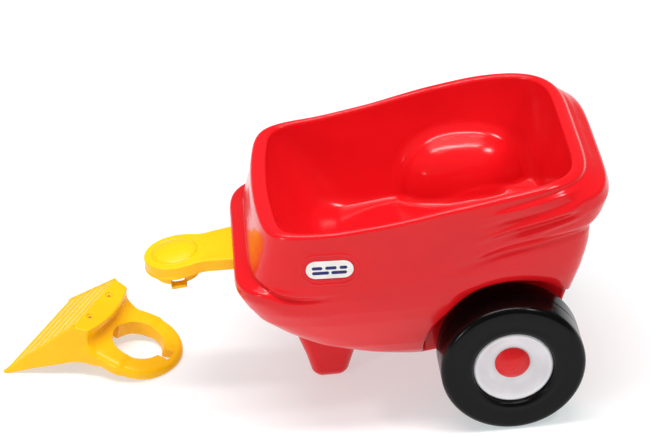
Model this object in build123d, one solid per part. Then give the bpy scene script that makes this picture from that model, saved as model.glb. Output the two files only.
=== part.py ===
from build123d import *
import math
import os

# ---------------------------------------------------------------------------
# Two-wheeled child's tow trailer with its separate hitch bracket.
# Working frame while building: X backwards along the trailer (the tongue points
# to -X), Y across, Z up, axle at X = 0, floor at Z = 0, millimetres.
# Everything is shifted at the end so that the bottom centre of the whole
# assembly's bounding box is the origin.
# ---------------------------------------------------------------------------

# wheels and axle
WHEEL_R = 105.0
WHEEL_W = 78.0
WHEEL_MID_Y = 158.0          # wheel mid-plane, each side
SHOULDER_R = 22.0
WHEEL_WALL = 3.5
AXLE_Z = 105.0
AXLE_R = 4.76
RUN_R = 4.85                 # running bores on the axle
HUB_R = 57.0
CAP_R = 25.5

# body
WELL_R = 123.0               # wheel-well radius about the axle
WELL_Y = 106.0               # inner wall of each wheel well
SKIN = 4.5                   # moulded wall thickness
FLOOR_Z0 = 200.0             # load floor height at X = -220
FLOOR_SLOPE = math.tan(math.radians(4.7))   # the body stands nose-down on its foot
RIM_PTS = [(-420, 341), (-350, 343.5), (-327, 344.5), (-245, 346), (-163, 356.5),
           (-81, 373), (0.6, 386.5), (60, 391.5), (110, 392.5), (140, 392.5), (240, 390)]

# tongue
TONGUE_X = -472.6            # centre of the domed coupling
TONGUE_Z = 237.0
TONGUE_TILT = 4.7
TONGUE_T = 20.0
TONGUE_END_R = 46.0
DOME_R = 34.4
DOME_H = 8.5
COLLAR_R = 34.0

# hitch bracket: pose on the floor and main sizes
BR_POS = (-548.6, 81.3, 30.4)
BR_YAW = 62.5
BR_TILT = 16.7
RING_HOLE_R = 40.2
RING_R = 71.5
SCREW_HOLE_R = 2.2
SCREW_SPAN = 62.0
TAB_Z = 34.0


def zrim(x):
    p = RIM_PTS
    for (x0, z0), (x1, z1) in zip(p[:-1], p[1:]):
        if x <= x1:
            return z0 + (z1 - z0) * (x - x0) / (x1 - x0)
    return p[-1][1]


def interp(table, z):
    """Row of a table (first column z) at height z, straight lines between rows."""
    if z <= table[0][0]:
        return table[0][1:]
    for a, b in zip(table[:-1], table[1:]):
        if z <= b[0]:
            k = (z - a[0]) / (b[0] - a[0])
            return tuple(p + (q - p) * k for p, q in zip(a[1:], b[1:]))
    return table[-1][1:]


# z, x front, x rear, half width front, middle, rear, corner exponent
HULL = [
    (76.0, -150, 40, 84, 90, 84, 5.0),
    (88.0, -205, 62, 102, 106, 100, 5.0),
    (105.0, -252, 70, 116, 122, 114, 5.0),
    (130.0, -300, 80, 130, 138, 126, 4.6),
    (160.0, -336, 90, 143, 153, 138, 4.4),
    (188.0, -362, 99, 154, 164, 148, 4.4),
    (212.0, -377, 107, 162, 171, 155, 4.6),
    (236.0, -386, 114, 168, 175, 160, 5.0),
    (250.0, -384, 118, 169, 176, 163, 5.4),
    (262.0, -370, 121, 168, 177, 165, 6.0),
    (276.0, -364, 124, 168, 177, 168, 6.0),
    (292.0, -360, 127, 168, 178, 172, 6.0),
    (308.0, -357, 134, 168, 179, 178, 5.6),
    (326.0, -354, 150, 168, 181, 185, 5.2),
    (345.0, -350, 157, 168, 183, 188, 5.0),
    (362.0, -347, 152, 167, 184, 186, 5.0),
    (376.0, -344, 130, 166, 184, 180, 5.2),
    (392.0, -341, 117, 165, 184, 174, 5.4),
    (412.0, -338, 116, 164, 183, 173, 5.4),
]

# load space, same columns
BAY = [
    (FLOOR_Z0 - 14, -205, 78, 118, 124, 116, 5.0),
    (FLOOR_Z0, -238, 84, 132, 138, 126, 5.0),
    (FLOOR_Z0 + 14, -262, 87, 138, 146, 134, 5.2),
    (250.0, -286, 90, 146, 155, 142, 5.6),
    (290.0, -308, 94, 152, 163, 150, 6.0),
    (330.0, -326, 98, 155, 169, 157, 6.0),
    (360.0, -333, 101, 156, 171, 161, 6.0),
    (395.0, -336, 103, 156, 172, 163, 6.0),
    (425.0, -337, 104, 156, 172, 163, 6.0),
]


def section(table, z, grow=0.0, n=44):
    xf, xr, wf, wm, wr, e = interp(table, z)
    xf, xr = xf - grow, xr + grow
    wf, wm, wr = wf + grow, wm + grow, wr + grow
    xm, ax = (xf + xr) / 2, (xr - xf) / 2
    pts = []
    for i in range(n):
        t = 2 * math.pi * (i + 0.5) / n
        c, s = math.cos(t), math.sin(t)
        cx = math.copysign(abs(c) ** (2 / e), c)
        sy = math.copysign(abs(s) ** (2 / e), s)
        # widths: a parabola through front (-1), middle (0) and rear (+1)
        w = wm + cx * (wr - wf) / 2 + cx * cx * ((wr + wf) / 2 - wm)
        pts.append((xm + ax * cx, w * sy))
    return pts


def stack(table, zs, grow=0.0):
    faces = []
    for z in zs:
        p = section(table, z, grow)
        with BuildSketch(Plane.XY.offset(z)) as sk:
            with BuildLine():
                Spline(*p, periodic=True)
            make_face()
        faces.append(sk.sketch.faces()[0])
    return loft(faces)


def side_prism(points, half):
    """Closed polygon in X-Z, extruded across Y to +-half."""
    with BuildSketch(Plane.XZ) as sk:
        with BuildLine():
            Polyline(*points, close=True)
        make_face()
    return extrude(sk.sketch, amount=half, both=True)


def under_rim(drop):
    top = [(x, z - drop) for x, z in RIM_PTS]
    with BuildSketch(Plane.XZ) as sk:
        with BuildLine():
            s = Spline(*top)
            Polyline(top[-1], (240, 0), (-420, 0), top[0])
        make_face()
    return extrude(sk.sketch, amount=260, both=True)


def cyl(r, y0, y1, x=0.0, z=AXLE_Z):
    """Cylinder along Y between y0 and y1."""
    c = Cylinder(r, abs(y1 - y0)).rotate(Axis.X, 90)
    return c.moved(Location((x, (y0 + y1) / 2, z)))


def box(x0, x1, y0, y1, z0, z1):
    return Box(x1 - x0, y1 - y0, z1 - z0).moved(
        Location(((x0 + x1) / 2, (y0 + y1) / 2, (z0 + z1) / 2)))


def one(shape):
    s = shape.solids()
    s.sort(key=lambda q: q.volume)
    return s[-1]


# ------------------------------------------------------------------ body ---
def hump(side, grow=0.0):
    """Raised cover over a wheel well inside the load space."""
    g = grow
    prof = [(98 - g, 150), (98 - g, 214 + g), (108 - g, 236 + g), (132 - g, 270 + g), (175, 300 + g), (230, 300 + g), (230, 150)]
    with BuildSketch(Plane.YZ) as sk:
        with BuildLine():
            Polyline(*[(side * y, z) for y, z in prof], close=True)
        make_face()
    h = extrude(sk.sketch, amount=210 + 2 * g).moved(Location((-130 - g, 0, 0)))
    return h


def floor_fill(dz):
    """Everything under the load floor, which rises a little to the rear and
    turns up in front."""
    slope = [(-330, FLOOR_Z0 + 35 + dz), (-220, FLOOR_Z0 + dz), (240, FLOOR_Z0 + 460 * FLOOR_SLOPE + dz)]
    return side_prism(slope + [(240, 120), (-330, 120)], 260)


def foot(grow=0.0):
    """Front resting foot: a tapered leg with a rounded end."""
    g = grow
    secs = []
    for z, x0, x1, w in ((6, -280, -237, 24), (14, -283, -234, 27), (45, -291, -222, 34), (84, -302, -212, 44), (150, -318, -195, 60)):
        with BuildSketch(Plane.XY.offset(z)) as sk:
            with Locations(((x0 + x1) / 2, 0)):
                RectangleRounded(x1 - x0 + 2 * g, 2 * w + 2 * g, 14 + g)
        secs.append(sk.sketch.faces()[0])
    f = loft(secs)
    return f


def build_tub():
    zs = [r[0] for r in HULL]
    hull = stack(HULL, zs) & under_rim(0)
    leg = foot()
    base = Plane.XY.offset(0)
    with BuildSketch(base) as sk:
        with Locations((-258.5, 0)):
            RectangleRounded(33, 38, 9)
    toe = loft([sk.sketch.faces()[0], leg.faces().sort_by(Axis.Z)[0]])
    hull = hull + leg + toe
    wells = []
    for s in (-1, 1):
        wells.append(cyl(WELL_R, s * WELL_Y, s * 230))
    bay = stack(BAY, [r[0] for r in BAY])
    hump_all = [hump(s) for s in (-1, 1)]
    bay = bay - hump_all[0] - hump_all[1] - floor_fill(0)
    bay = one(bay)
    tub = hull - wells[0] - wells[1] - bay
    # inner void between the skins
    void = stack(HULL, zs, -SKIN) & under_rim(SKIN)
    void = void & box(-420, 200, -230, 230, 76 + SKIN, 420)
    for s in (-1, 1):
        void = void - cyl(WELL_R + SKIN, s * (WELL_Y - SKIN), s * 230)
    bay_out = stack(BAY, [r[0] for r in BAY], SKIN).moved(Location((0, 0, -SKIN)))
    for s in (-1, 1):
        bay_out = bay_out - hump(s, -SKIN)
    bay_out = one(bay_out - floor_fill(-SKIN))
    void = void - bay_out
    # solid collars kept round the axle tunnel and the tongue socket
    void = void - cyl(8 + SKIN, -WELL_Y, WELL_Y)
    void = void - on_tongue(Box(70, 104, 34).moved(Location((105, 0, -10))))
    for sx, sy in TONGUE_SCREWS:
        void = void - on_tongue(Cylinder(12, 120).moved(Location((sx, sy, -70))))
    for s in (-1, 1):
        void = void - label_plane(s).location * Box(96, 64, 10)
    void = one(void)
    # raised pill-shaped border and shallow seat for each side badge
    for s in (-1, 1):
        tub = tub + badge_border(s)
    tub = tub - void
    for s in (-1, 1):
        tub = tub - badge_seat(s)
    # socket for the tongue, and its screw holes with head recesses from below
    tub = tub - on_tongue(socket_block())
    for sx, sy in TONGUE_SCREWS:
        tub = tub - on_tongue(Cylinder(2.6, 60).moved(Location((sx, sy, -30))))
        tub = tub - on_tongue(Cylinder(6.5, 100).moved(Location((sx, sy, -TONGUE_T - 6 - 50))))
    # axle tunnel with a pocket for each bush
    tub = tub - cyl(6.2, -WELL_Y - 1, WELL_Y + 1)
    for s in (-1, 1):
        tub = tub - cyl(8.0, s * (WELL_Y - 18), s * (WELL_Y + 1))
    return one(tub), void



# ---------------------------------------------------------------- tongue ---
TONGUE_SCREWS = [(102, -24), (102, 24)]
ARM_END = 128.0


def on_tongue(shape):
    """From the tongue's own frame (coupling centre, top face) to the trailer."""
    return shape.moved(Location((TONGUE_X, 0, TONGUE_Z), (0, -TONGUE_TILT, 0)))


def arm_outline(grow=0.0):
    g = grow
    pts = [(0, 30), (18, 40.5), (34, 38.3), (58, 41.5), (86, 46), (ARM_END, 46)]
    up = [(x, y + g) for x, y in pts]
    with BuildSketch() as sk:
        with BuildLine():
            Spline(*[p for p in up[1:5]])
            Polyline(up[4], (ARM_END + g, up[5][1]), (ARM_END + g, -up[5][1]), (up[4][0], -up[4][1]))
            Spline(*[(x, -y) for x, y in reversed(up[1:5])])
            Line((up[1][0], -up[1][1]), up[1])
        make_face()
        Circle(TONGUE_END_R + g)
    return sk.sketch


def socket_block():
    return Box(70, 2 * 46.4, TONGUE_T + 0.6).moved(Location((ARM_END + 0.5 - 35, 0, -TONGUE_T / 2)))


def build_tongue():
    t = extrude(arm_outline(), amount=-TONGUE_T)
    t = fillet(t.faces().sort_by(Axis.Z)[-1].edges(), 2.5)
    pocket = extrude(arm_outline(-3.6), amount=-TONGUE_T - 5).moved(Location((0, 0, -3.6)))
    t = t - pocket
    # three stiffening ribs under the arm, bosses for the screws
    for y in (-20.0, 0.0, 20.0):
        t = t + Box(84, 2.8, TONGUE_T - 5).moved(Location((84, y, -(TONGUE_T - 5) / 2 - 2)))
    for sx, sy in TONGUE_SCREWS:
        t = t + Cylinder(6.5, TONGUE_T - 2).moved(Location((sx, sy, -(TONGUE_T - 2) / 2 - 2)))
    # domed top over the coupling
    rs = (DOME_R ** 2 + DOME_H ** 2) / (2 * DOME_H)
    dome = Sphere(rs).moved(Location((0, 0, DOME_H - rs))) & Cylinder(DOME_R + 1, 40).moved(Location((0, 0, 19)))
    t = t + dome
    # collar that drops through the bracket ring, with two windows and two lugs
    collar = Cylinder(COLLAR_R, 33).moved(Location((0, 0, -3 - 16.5))) - Cylinder(COLLAR_R - 3.6, 40).moved(Location((0, 0, -3.6 - 20)))
    t = t + collar
    lip = extrude(Circle(TONGUE_END_R + 1.6), amount=3.2).moved(Location((0, 0, -TONGUE_T)))
    lip = lip - Cylinder(TONGUE_END_R - 2.5, 20).moved(Location((0, 0, -TONGUE_T))) - Box(80, 200, 20).moved(Location((52, 0, -TONGUE_T)))
    t = t + lip
    for s in (-1, 1):
        t = t + Box(23, 13, 6).moved(Location((0, s * (COLLAR_R + 4.5), -36)))
        t = t - Box(18, 16, 8).moved(Location((0, s * COLLAR_R, -28.5)))
    for sx, sy in TONGUE_SCREWS:
        t = t - Cylinder(2.6, 40).moved(Location((sx, sy, -TONGUE_T - 20 + 14)))
    return one(on_tongue(t))


def build_tongue_screws():
    out = []
    for sx, sy in TONGUE_SCREWS:
        s = Cylinder(2.2, 18).moved(Location((sx, sy, -TONGUE_T - 6 + 9)))
        h = Cylinder(5.0, 2.6).moved(Location((sx, sy, -TONGUE_T - 6 - 1.3)))
        h = h - Cylinder(1.6, 3).moved(Location((sx, sy, -TONGUE_T - 6 - 2.6)))
        out.append(one(on_tongue(s + h)))
    return Compound(children=out)


# ---------------------------------------------------------------- badges ---
BADGE_X, BADGE_Z, BADGE_W, BADGE_H = -252.5, 291.0, 67.0, 28.0


def side_y(x, z):
    """Half width of the hull's outside at (x, z)."""
    xf, xr, wf, wm, wr, e = interp(HULL, z)
    xm, ax = (xf + xr) / 2, (xr - xf) / 2
    cx = (x - xm) / ax
    c = math.copysign(abs(cx) ** (e / 2), cx)
    sy = (1 - c * c) ** (1 / e)
    w = wm + cx * (wr - wf) / 2 + cx * cx * ((wr + wf) / 2 - wm)
    return w * sy


def label_plane(side):
    y0 = side_y(BADGE_X, BADGE_Z)
    dx = (side_y(BADGE_X + 30, BADGE_Z) - side_y(BADGE_X - 30, BADGE_Z)) / 60
    dz = (side_y(BADGE_X, BADGE_Z + 15) - side_y(BADGE_X, BADGE_Z - 15)) / 30
    n = Vector(-dx, side, -dz).normalized()
    n = Vector(n.X, side * abs(n.Y), n.Z)
    xd = Vector(-side, 0, 0)
    xd = (xd - n * xd.dot(n)).normalized()
    return Plane(origin=Vector(BADGE_X, side * (y0 - 0.9), BADGE_Z), x_dir=xd, z_dir=n)


def pill(w, h):
    return SlotOverall(w, h)


def badge_seat(side):
    return label_plane(side).location * extrude(pill(BADGE_W + 0.8, BADGE_H + 0.8), amount=8)


def badge_border(side):
    ring = extrude(pill(84, 50) - pill(78, 44), amount=4.6).moved(Location((0, 0, -2.6)))
    return label_plane(side).location * ring


def build_badge(side):
    b = extrude(pill(BADGE_W, BADGE_H), amount=1.6)
    b = fillet(b.faces().sort_by(Axis.Z)[-1].edges(), 0.5)
    return one(label_plane(side).location * b)


# ------------------------------------------------------- wheels and axle ---
def lathe(outline, side):
    """Closed outline of (radius, outward distance from the wheel's mid-plane)
    segments turned about the axle; side is -1 or +1."""
    with BuildSketch(Plane.XY) as sk:
        with BuildLine():
            for seg in outline:
                if len(seg) == 2:
                    Line(*seg)
                else:
                    ThreePointArc(*seg)
        make_face()
    r = revolve(sk.sketch, Axis.Y, 360)
    if side < 0:
        r = r.mirror(Plane.XZ)
    return one(r.moved(Location((0, side * WHEEL_MID_Y, AXLE_Z))))


def path(*pts):
    """Straight segments through the points; a 3-tuple of points is an arc."""
    segs = []
    cur = pts[0]
    for p in pts[1:]:
        if isinstance(p[0], tuple):
            segs.append((cur, p[0], p[1]))
            cur = p[1]
        else:
            segs.append((cur, p))
            cur = p
    return segs


def arc_mid(cx, cy, r, deg):
    return (cx + r * math.cos(math.radians(deg)), cy + r * math.sin(math.radians(deg)))


H = WHEEL_W / 2
S = SHOULDER_R
BOSS_IN = -46.9
HUB_FLOOR = 10.0


def build_wheel(side):
    cr, cy = WHEEL_R - S, H - S
    outer = path((RUN_R, BOSS_IN), (14, BOSS_IN), (14, -31), (50, -31), (57, -36), (64, -H), (cr, -H),
                 (arc_mid(cr, -cy, S, -45), (WHEEL_R, -cy)), (WHEEL_R, cy),
                 (arc_mid(cr, cy, S, 45), (cr, H)), (66, H), ((60.5, 36.8), (58, 31)), (58, HUB_FLOOR),
                 (RUN_R, HUB_FLOOR), (RUN_R, BOSS_IN))
    w = WHEEL_WALL
    inner = path((14 + w, -31 + w), (51, -31 + w), (58.3, -36 + w), (65, -H + w), (cr, -H + w),
                 (arc_mid(cr, -cy, S - w, -45), (WHEEL_R - w, -cy)), (WHEEL_R - w, cy),
                 (arc_mid(cr, cy, S - w, 45), (cr, H - w)), (67, H - w), (61.5, 31), (61.5, HUB_FLOOR - w),
                 (14 + w, HUB_FLOOR - w), (14 + w, -31 + w))
    return one(lathe(outer, side) - lathe(inner, side))


def build_hub(side):
    return lathe(path((19.3, 10), (19.3, 18), (27, 18), ((38, 20.2), (47, 26)), (51.5, 31), ((54.5, 33.2), (57.5, 31)), (57.5, 28.5),
                      (54.5, 28.3), (49.5, 23.6), ((38.5, 17.2), (29, 15.2)), (24, 15), (24, 10), (19.3, 10)), side)


def build_cap(side):
    # concentric dome arcs whose centre lies on the axle line
    rise, rad = 9.2, CAP_R - 0.5
    ro = (rad ** 2 + rise ** 2) / (2 * rise)
    c = 29.6 - ro
    ri = ro - 2.6

    def on(r, x):
        return (x, c + math.sqrt(r * r - x * x))
    return lathe(path((0, 27.0), (0, 29.6), (on(ro, 13.0), on(ro, rad)), (CAP_R, 18), (19.1, 18), (19.1, 12.6), (16.9, 12.6), on(ri, 16.9),
                      (on(ri, 9.0), (0, 27.0))), side)


def build_outer_washer(side):
    return lathe(path((AXLE_R + 0.06, 10.4), (12, 10.4), (12, 12.0), (AXLE_R + 0.06, 12.0), (AXLE_R + 0.06, 10.4)), side)


def build_push_nut(side):
    return lathe(path((AXLE_R + 0.04, 12.0), (10, 12.0), (10, 13.0), (7.2, 15.8), (AXLE_R + 0.04, 15.8), (AXLE_R + 0.04, 12.0)), side)


def build_inner_washer(side):
    o = -WHEEL_MID_Y
    return lathe(path((AXLE_R + 0.06, 109.2 + o), (12, 109.2 + o), (12, 110.8 + o), (AXLE_R + 0.06, 110.8 + o), (AXLE_R + 0.06, 109.2 + o)), side)


def build_bush(side):
    o = -WHEEL_MID_Y
    return lathe(path((RUN_R, 88.5 + o), (7.9, 88.5 + o), (7.9, WELL_Y + o), (12.5, WELL_Y + o), (12.5, 108.6 + o), (RUN_R, 108.6 + o), (RUN_R, 88.5 + o)), side)


def build_axle():
    a = cyl(AXLE_R, -176, 176)
    return one(chamfer(a.edges(), 0.8))


# --------------------------------------------------------- hitch bracket ---
def on_bracket(shape):
    yaw, tilt = math.radians(BR_YAW), math.radians(BR_TILT)
    t = Vector(math.cos(yaw), math.sin(yaw), 0)          # across (s)
    a = Vector(-math.sin(yaw), math.cos(yaw), 0)         # from the ring to the ramp (u)
    a2 = a * math.cos(tilt) + Vector(0, 0, 1) * math.sin(tilt)
    k2 = Vector(0, 0, 1) * math.cos(tilt) - a * math.sin(tilt)
    # local x = u, local y = -s so that the frame is right-handed
    pl = Plane(origin=Vector(*BR_POS), x_dir=a2, z_dir=k2)
    return pl.location * shape


WEDGE = [(30, 0), (43, 0), (51, 5), (57, 14), (60, 25), (61, TAB_Z), (83.4, TAB_Z), (168.5, -80.5), (164.5, -83.6),
         (129, -61), (111, -51), (90, -40), (76, -31), (49, -22), (30, -22)]


def side_cut(sign, inset=0.0):
    """Half space outside one leaning side wall of the wedge."""
    p1, p2, p3 = Vector(49, sign * 69, -20), Vector(163, sign * 106, -85), Vector(83.4, sign * 71, TAB_Z)
    n = (p2 - p1).cross(p3 - p1).normalized()
    if n.Y * sign < 0:
        n = n * -1
    pl = Plane(origin=p1 - n * inset, z_dir=n)
    return pl.location * Box(600, 600, 300).moved(Location((0, 0, 150)))


def wedge_solid(profile, half):
    with BuildSketch(Plane.XZ) as sk:
        with BuildLine():
            Polyline(*profile, close=True)
        make_face()
    return extrude(sk.sketch, amount=half, both=True)


def build_bracket():
    w = wedge_solid(WEDGE, 125) - side_cut(1) - side_cut(-1)
    # convex front edge of the screw tab
    front = Cylinder(182, 300).moved(Location((53 + 182, 0, 0)))
    w = w & (front + Box(200, 300, 60).moved(Location((100, 0, -30))))
    inner = [(34, -4), (47, -4), (57, 4), (63, 14), (65, TAB_Z - 6), (81, TAB_Z - 6), (152, -70), (129, -57 - 12), (111, -63), (90, -52), (76, -43), (49, -34), (34, -34)]
    pocket = wedge_solid(inner, 125) - side_cut(1, 4) - side_cut(-1, 4)
    w = w - pocket
    # five grip ribs across the ramp
    du, dz = 168.5 - 83.4, -80.5 - TAB_Z
    ln = math.hypot(du, dz)
    nx, nz = -dz / ln, du / ln
    for k in (0.10, 0.27, 0.44, 0.61, 0.78, 0.94):
        cu, cz = 83.4 + du * k, TAB_Z + dz * k
        half = 68 + (92 - 68) * k
        bar = Box(5.0, 2 * half, 5.0).rotate(Axis.Y, math.degrees(math.atan2(-dz, du)))
        w = w + bar.moved(Location((cu + nx * 0.2, 0, cz + nz * 0.2)))
    ring = Cylinder(RING_R, 20).moved(Location((0, 0, -10)))
    ring = fillet(ring.edges().sort_by(Axis.Z)[-1], 8.5)
    neck = Box(62, 2 * 69, 20).moved(Location((25, 0, -10)))
    neck = fillet(neck.edges().filter_by(Axis.X).group_by(Axis.Z)[-1], 8.5)
    r = ring + neck
    # thinner towards the tip: the underside is cut level with the floor there
    tip = Box(400, 400, 100).moved(Location((0, 0, -50)))
    tip = Plane(origin=(-RING_R, 0, -11.5), x_dir=(math.cos(math.radians(BR_TILT)), 0, -math.sin(math.radians(BR_TILT))),
                z_dir=(math.sin(math.radians(BR_TILT)), 0, math.cos(math.radians(BR_TILT)))).location * tip
    r = r - tip
    hollow = Cylinder(RING_R - 5, 40).moved(Location((0, 0, -9.5 - 20))) - Cylinder(RING_HOLE_R + 4, 60)
    hollow = hollow & Box(105, 300, 80).moved(Location((15, 0, -40)))
    r = r - hollow
    b = r + w
    b = b - Cylinder(RING_HOLE_R, 200)
    for s in (-1, 1):
        b = b - Box(2 * (RING_HOLE_R + 17), 20, 60).moved(Location((0, 0, -14)))
    for s in (-1, 1):
        b = b - Cylinder(SCREW_HOLE_R, 60).moved(Location((73, s * SCREW_SPAN / 2, TAB_Z)))
        b = b - Cylinder(6.0, 10).moved(Location((73, s * SCREW_SPAN / 2, TAB_Z - 2 + 5)))
    # flats where the ring's tip and the ramp's edge meet the floor
    b = on_bracket(one(b)) - Box(800, 800, 100).moved(Location((BR_POS[0], BR_POS[1], -50)))
    return one(b)


def build_all():
    p = {}
    p["tub_body"], _ = build_tub()
    p["tow_tongue"] = build_tongue()
    p["tongue_screws"] = build_tongue_screws()
    p["hitch_bracket"] = build_bracket()
    p["axle_rod"] = build_axle()
    for name, s in (("left", 1), ("right", -1)):
        p[name + "_badge"] = build_badge(s)
        p[name + "_wheel"] = build_wheel(s)
        p[name + "_hub_disc"] = build_hub(s)
        p[name + "_hub_cap"] = build_cap(s)
        p[name + "_outer_washer"] = build_outer_washer(s)
        p[name + "_push_nut"] = build_push_nut(s)
        p[name + "_inner_washer"] = build_inner_washer(s)
        p[name + "_axle_bush"] = build_bush(s)
    return p


if __name__ == "__main__":
    parts = build_all()
    boxes = [s.bounding_box() for s in parts.values()]
    lo = [min(tuple(b.min)[i] for b in boxes) for i in range(3)]
    hi = [max(tuple(b.max)[i] for b in boxes) for i in range(3)]
    print("box", lo, hi)
    shift = (-(lo[0] + hi[0]) / 2, -(lo[1] + hi[1]) / 2, -lo[2])
    print("shift", shift)
    os.makedirs("parts", exist_ok=True)
    for name, s in parts.items():
        export_step(s.moved(Location(shift)), "parts/" + name + ".step")
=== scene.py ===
import math
import bpy
import bmesh
import numpy as np
from mathutils import Matrix, Vector


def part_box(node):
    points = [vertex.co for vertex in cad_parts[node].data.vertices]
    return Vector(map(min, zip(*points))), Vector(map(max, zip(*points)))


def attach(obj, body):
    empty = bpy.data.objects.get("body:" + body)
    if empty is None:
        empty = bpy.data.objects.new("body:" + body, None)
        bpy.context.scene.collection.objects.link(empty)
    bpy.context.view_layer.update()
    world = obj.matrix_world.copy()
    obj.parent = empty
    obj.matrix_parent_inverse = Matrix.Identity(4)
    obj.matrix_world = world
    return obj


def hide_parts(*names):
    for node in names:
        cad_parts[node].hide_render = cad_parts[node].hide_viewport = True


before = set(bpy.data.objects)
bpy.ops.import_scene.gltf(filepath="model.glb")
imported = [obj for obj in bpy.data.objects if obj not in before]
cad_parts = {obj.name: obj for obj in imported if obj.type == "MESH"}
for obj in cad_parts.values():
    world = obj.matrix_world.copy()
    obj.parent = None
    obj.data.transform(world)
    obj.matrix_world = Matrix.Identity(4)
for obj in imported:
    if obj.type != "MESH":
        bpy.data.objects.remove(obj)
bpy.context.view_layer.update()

# The shapes below are worked out in the trailer's own millimetres (axle at X = 0,
# Z = 105, floor at Z = 0) and moved by SHIFT to the row frame.
SHIFT = np.array([302.404, -32.134, 0.0])
FINE = 1.0


# ------------------------------------------------------------ field maths ---
def smax(a, b, r):
    """Both at once, with the convex edge between them rounded to radius r."""
    return np.minimum(np.maximum(a, b), -r) + np.hypot(np.maximum(a + r, 0), np.maximum(b + r, 0))


def smin(a, b, r):
    """Either one, with a fillet of radius r in the corner between them."""
    return np.maximum(np.minimum(a, b), r) - np.hypot(np.maximum(r - a, 0), np.maximum(r - b, 0))


def step(t):
    t = np.clip(t, 0, 1)
    return t * t * (3 - 2 * t)


def bump(t, s):
    return np.exp(-(t / s) ** 2)


def curve(pts, sigma, pitch=0.5):
    """A smooth function through (near) the points."""
    xs = np.array([p[0] for p in pts], float)
    vs = np.array([p[1] for p in pts], float)
    d = np.arange(xs[0] - 6 * sigma, xs[-1] + 6 * sigma, pitch)
    v = np.interp(d, xs, vs)
    lo, hi = d < xs[0], d > xs[-1]
    v[lo] = vs[0] + (vs[1] - vs[0]) / (xs[1] - xs[0]) * (d[lo] - xs[0])
    v[hi] = vs[-1] + (vs[-1] - vs[-2]) / (xs[-1] - xs[-2]) * (d[hi] - xs[-1])
    n = int(3 * sigma / pitch)
    k = np.exp(-0.5 * (np.arange(-n, n + 1) * pitch / sigma) ** 2)
    k /= k.sum()
    v = np.convolve(v, k, "valid")
    d = d[n:len(d) - n]
    return lambda x: np.interp(x, d, v)


def level(pts, sigma, pitch=0.5):
    """As curve, but flat beyond its ends."""
    a, b = pts[0], pts[-1]
    return curve([(a[0] - 300, a[1])] + list(pts) + [(b[0] + 300, b[1])], sigma, pitch)


# ------------------------------------------------------------ surface net ---
def net(field, lo, hi, h):
    """Quad mesh of field = 0 in the box lo..hi with cells of size h."""
    lo = np.array(lo, float)
    c = 4
    n = np.maximum(2, np.ceil((np.array(hi, float) - lo) / (h * c)).astype(int))
    ax = [lo[i] + h * c * np.arange(n[i] + 1) for i in range(3)]
    g = np.meshgrid(*ax, indexing="ij")
    D = field(g[0].ravel(), g[1].ravel(), g[2].ravel()).reshape(n + 1)
    near = np.abs(D) < 2.2 * h * c
    neg = D < 0

    def corners(a):
        return [a[i:i + n[0], j:j + n[1], k:k + n[2]] for i in (0, 1) for j in (0, 1) for k in (0, 1)]
    live = np.any(corners(near), axis=0) | (np.any(corners(neg), axis=0) & ~np.all(corners(neg), axis=0))
    m = n * c
    big = np.repeat(np.repeat(np.repeat(live, c, 0), c, 1), c, 2)
    mask = np.zeros(m + 1, bool)
    for i in (0, 1):
        for j in (0, 1):
            for k in (0, 1):
                mask[i:i + m[0], j:j + m[1], k:k + m[2]] |= big
    F = np.full(m + 1, 1.0, np.float32)
    up = np.repeat(np.repeat(np.repeat(D[:-1, :-1, :-1], c, 0), c, 1), c, 2)
    F[:m[0], :m[1], :m[2]] = np.where(up < 0, -50, 50)
    idx = np.argwhere(mask)
    vals = np.empty(len(idx), np.float32)
    for s in range(0, len(idx), 400000):
        q = lo + h * idx[s:s + 400000]
        vals[s:s + 400000] = field(q[:, 0], q[:, 1], q[:, 2])
    F[mask] = vals
    inside = F < 0
    cs = [inside[i:i + m[0], j:j + m[1], k:k + m[2]] for i in (0, 1) for j in (0, 1) for k in (0, 1)]
    mixed = np.any(cs, axis=0) & ~np.all(cs, axis=0)
    cells = np.argwhere(mixed)
    number = np.full(m, -1, np.int64)
    number[mixed] = np.arange(len(cells))
    off = np.array([(i, j, k) for i in (0, 1) for j in (0, 1) for k in (0, 1)])
    V = np.stack([F[tuple((cells + o).T)] for o in off], 1)
    tot = np.zeros((len(cells), 3))
    cnt = np.zeros(len(cells))
    for a in range(8):
        for b in range(a + 1, 8):
            if np.abs(off[a] - off[b]).sum() != 1:
                continue
            cross = (V[:, a] < 0) != (V[:, b] < 0)
            va, vb = V[cross, a].astype(float), V[cross, b].astype(float)
            t = va / (va - vb)
            tot[cross] += off[a] + t[:, None] * (off[b] - off[a])
            cnt[cross] += 1
    verts = lo + h * (cells + tot / cnt[:, None])
    quads = []
    for axis in range(3):
        o = [1, 1, 1]
        o[axis] = 0
        hi_ = [m[0], m[1], m[2]]
        s0 = tuple(slice(o[i], hi_[i]) for i in range(3))
        s1 = tuple(slice(o[i] + (1 if i == axis else 0), hi_[i] + (1 if i == axis else 0)) for i in range(3))
        a, b = inside[s0], inside[s1]
        e = np.argwhere(a != b)
        flip = a[tuple(e.T)]
        e = e + np.array(o)
        u, v = [(1, 2), (2, 0), (0, 1)][axis]
        du, dv = np.zeros(3, int), np.zeros(3, int)
        du[u], dv[v] = 1, 1
        q = np.stack([number[tuple((e - du - dv).T)], number[tuple((e - dv).T)], number[tuple(e.T)], number[tuple((e - du).T)]], 1)
        q = np.where(flip[:, None], q, q[:, ::-1])
        quads.append(q)
    quads = np.concatenate(quads)
    quads = quads[(quads >= 0).all(1)]
    return verts, quads


def gradient(field, p, h=0.35):
    d = field(p[:, 0], p[:, 1], p[:, 2])
    g = np.stack([field(p[:, 0] + h, p[:, 1], p[:, 2]) - d,
                  field(p[:, 0], p[:, 1] + h, p[:, 2]) - d,
                  field(p[:, 0], p[:, 1], p[:, 2] + h) - d], 1) / h
    return d, g


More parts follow.
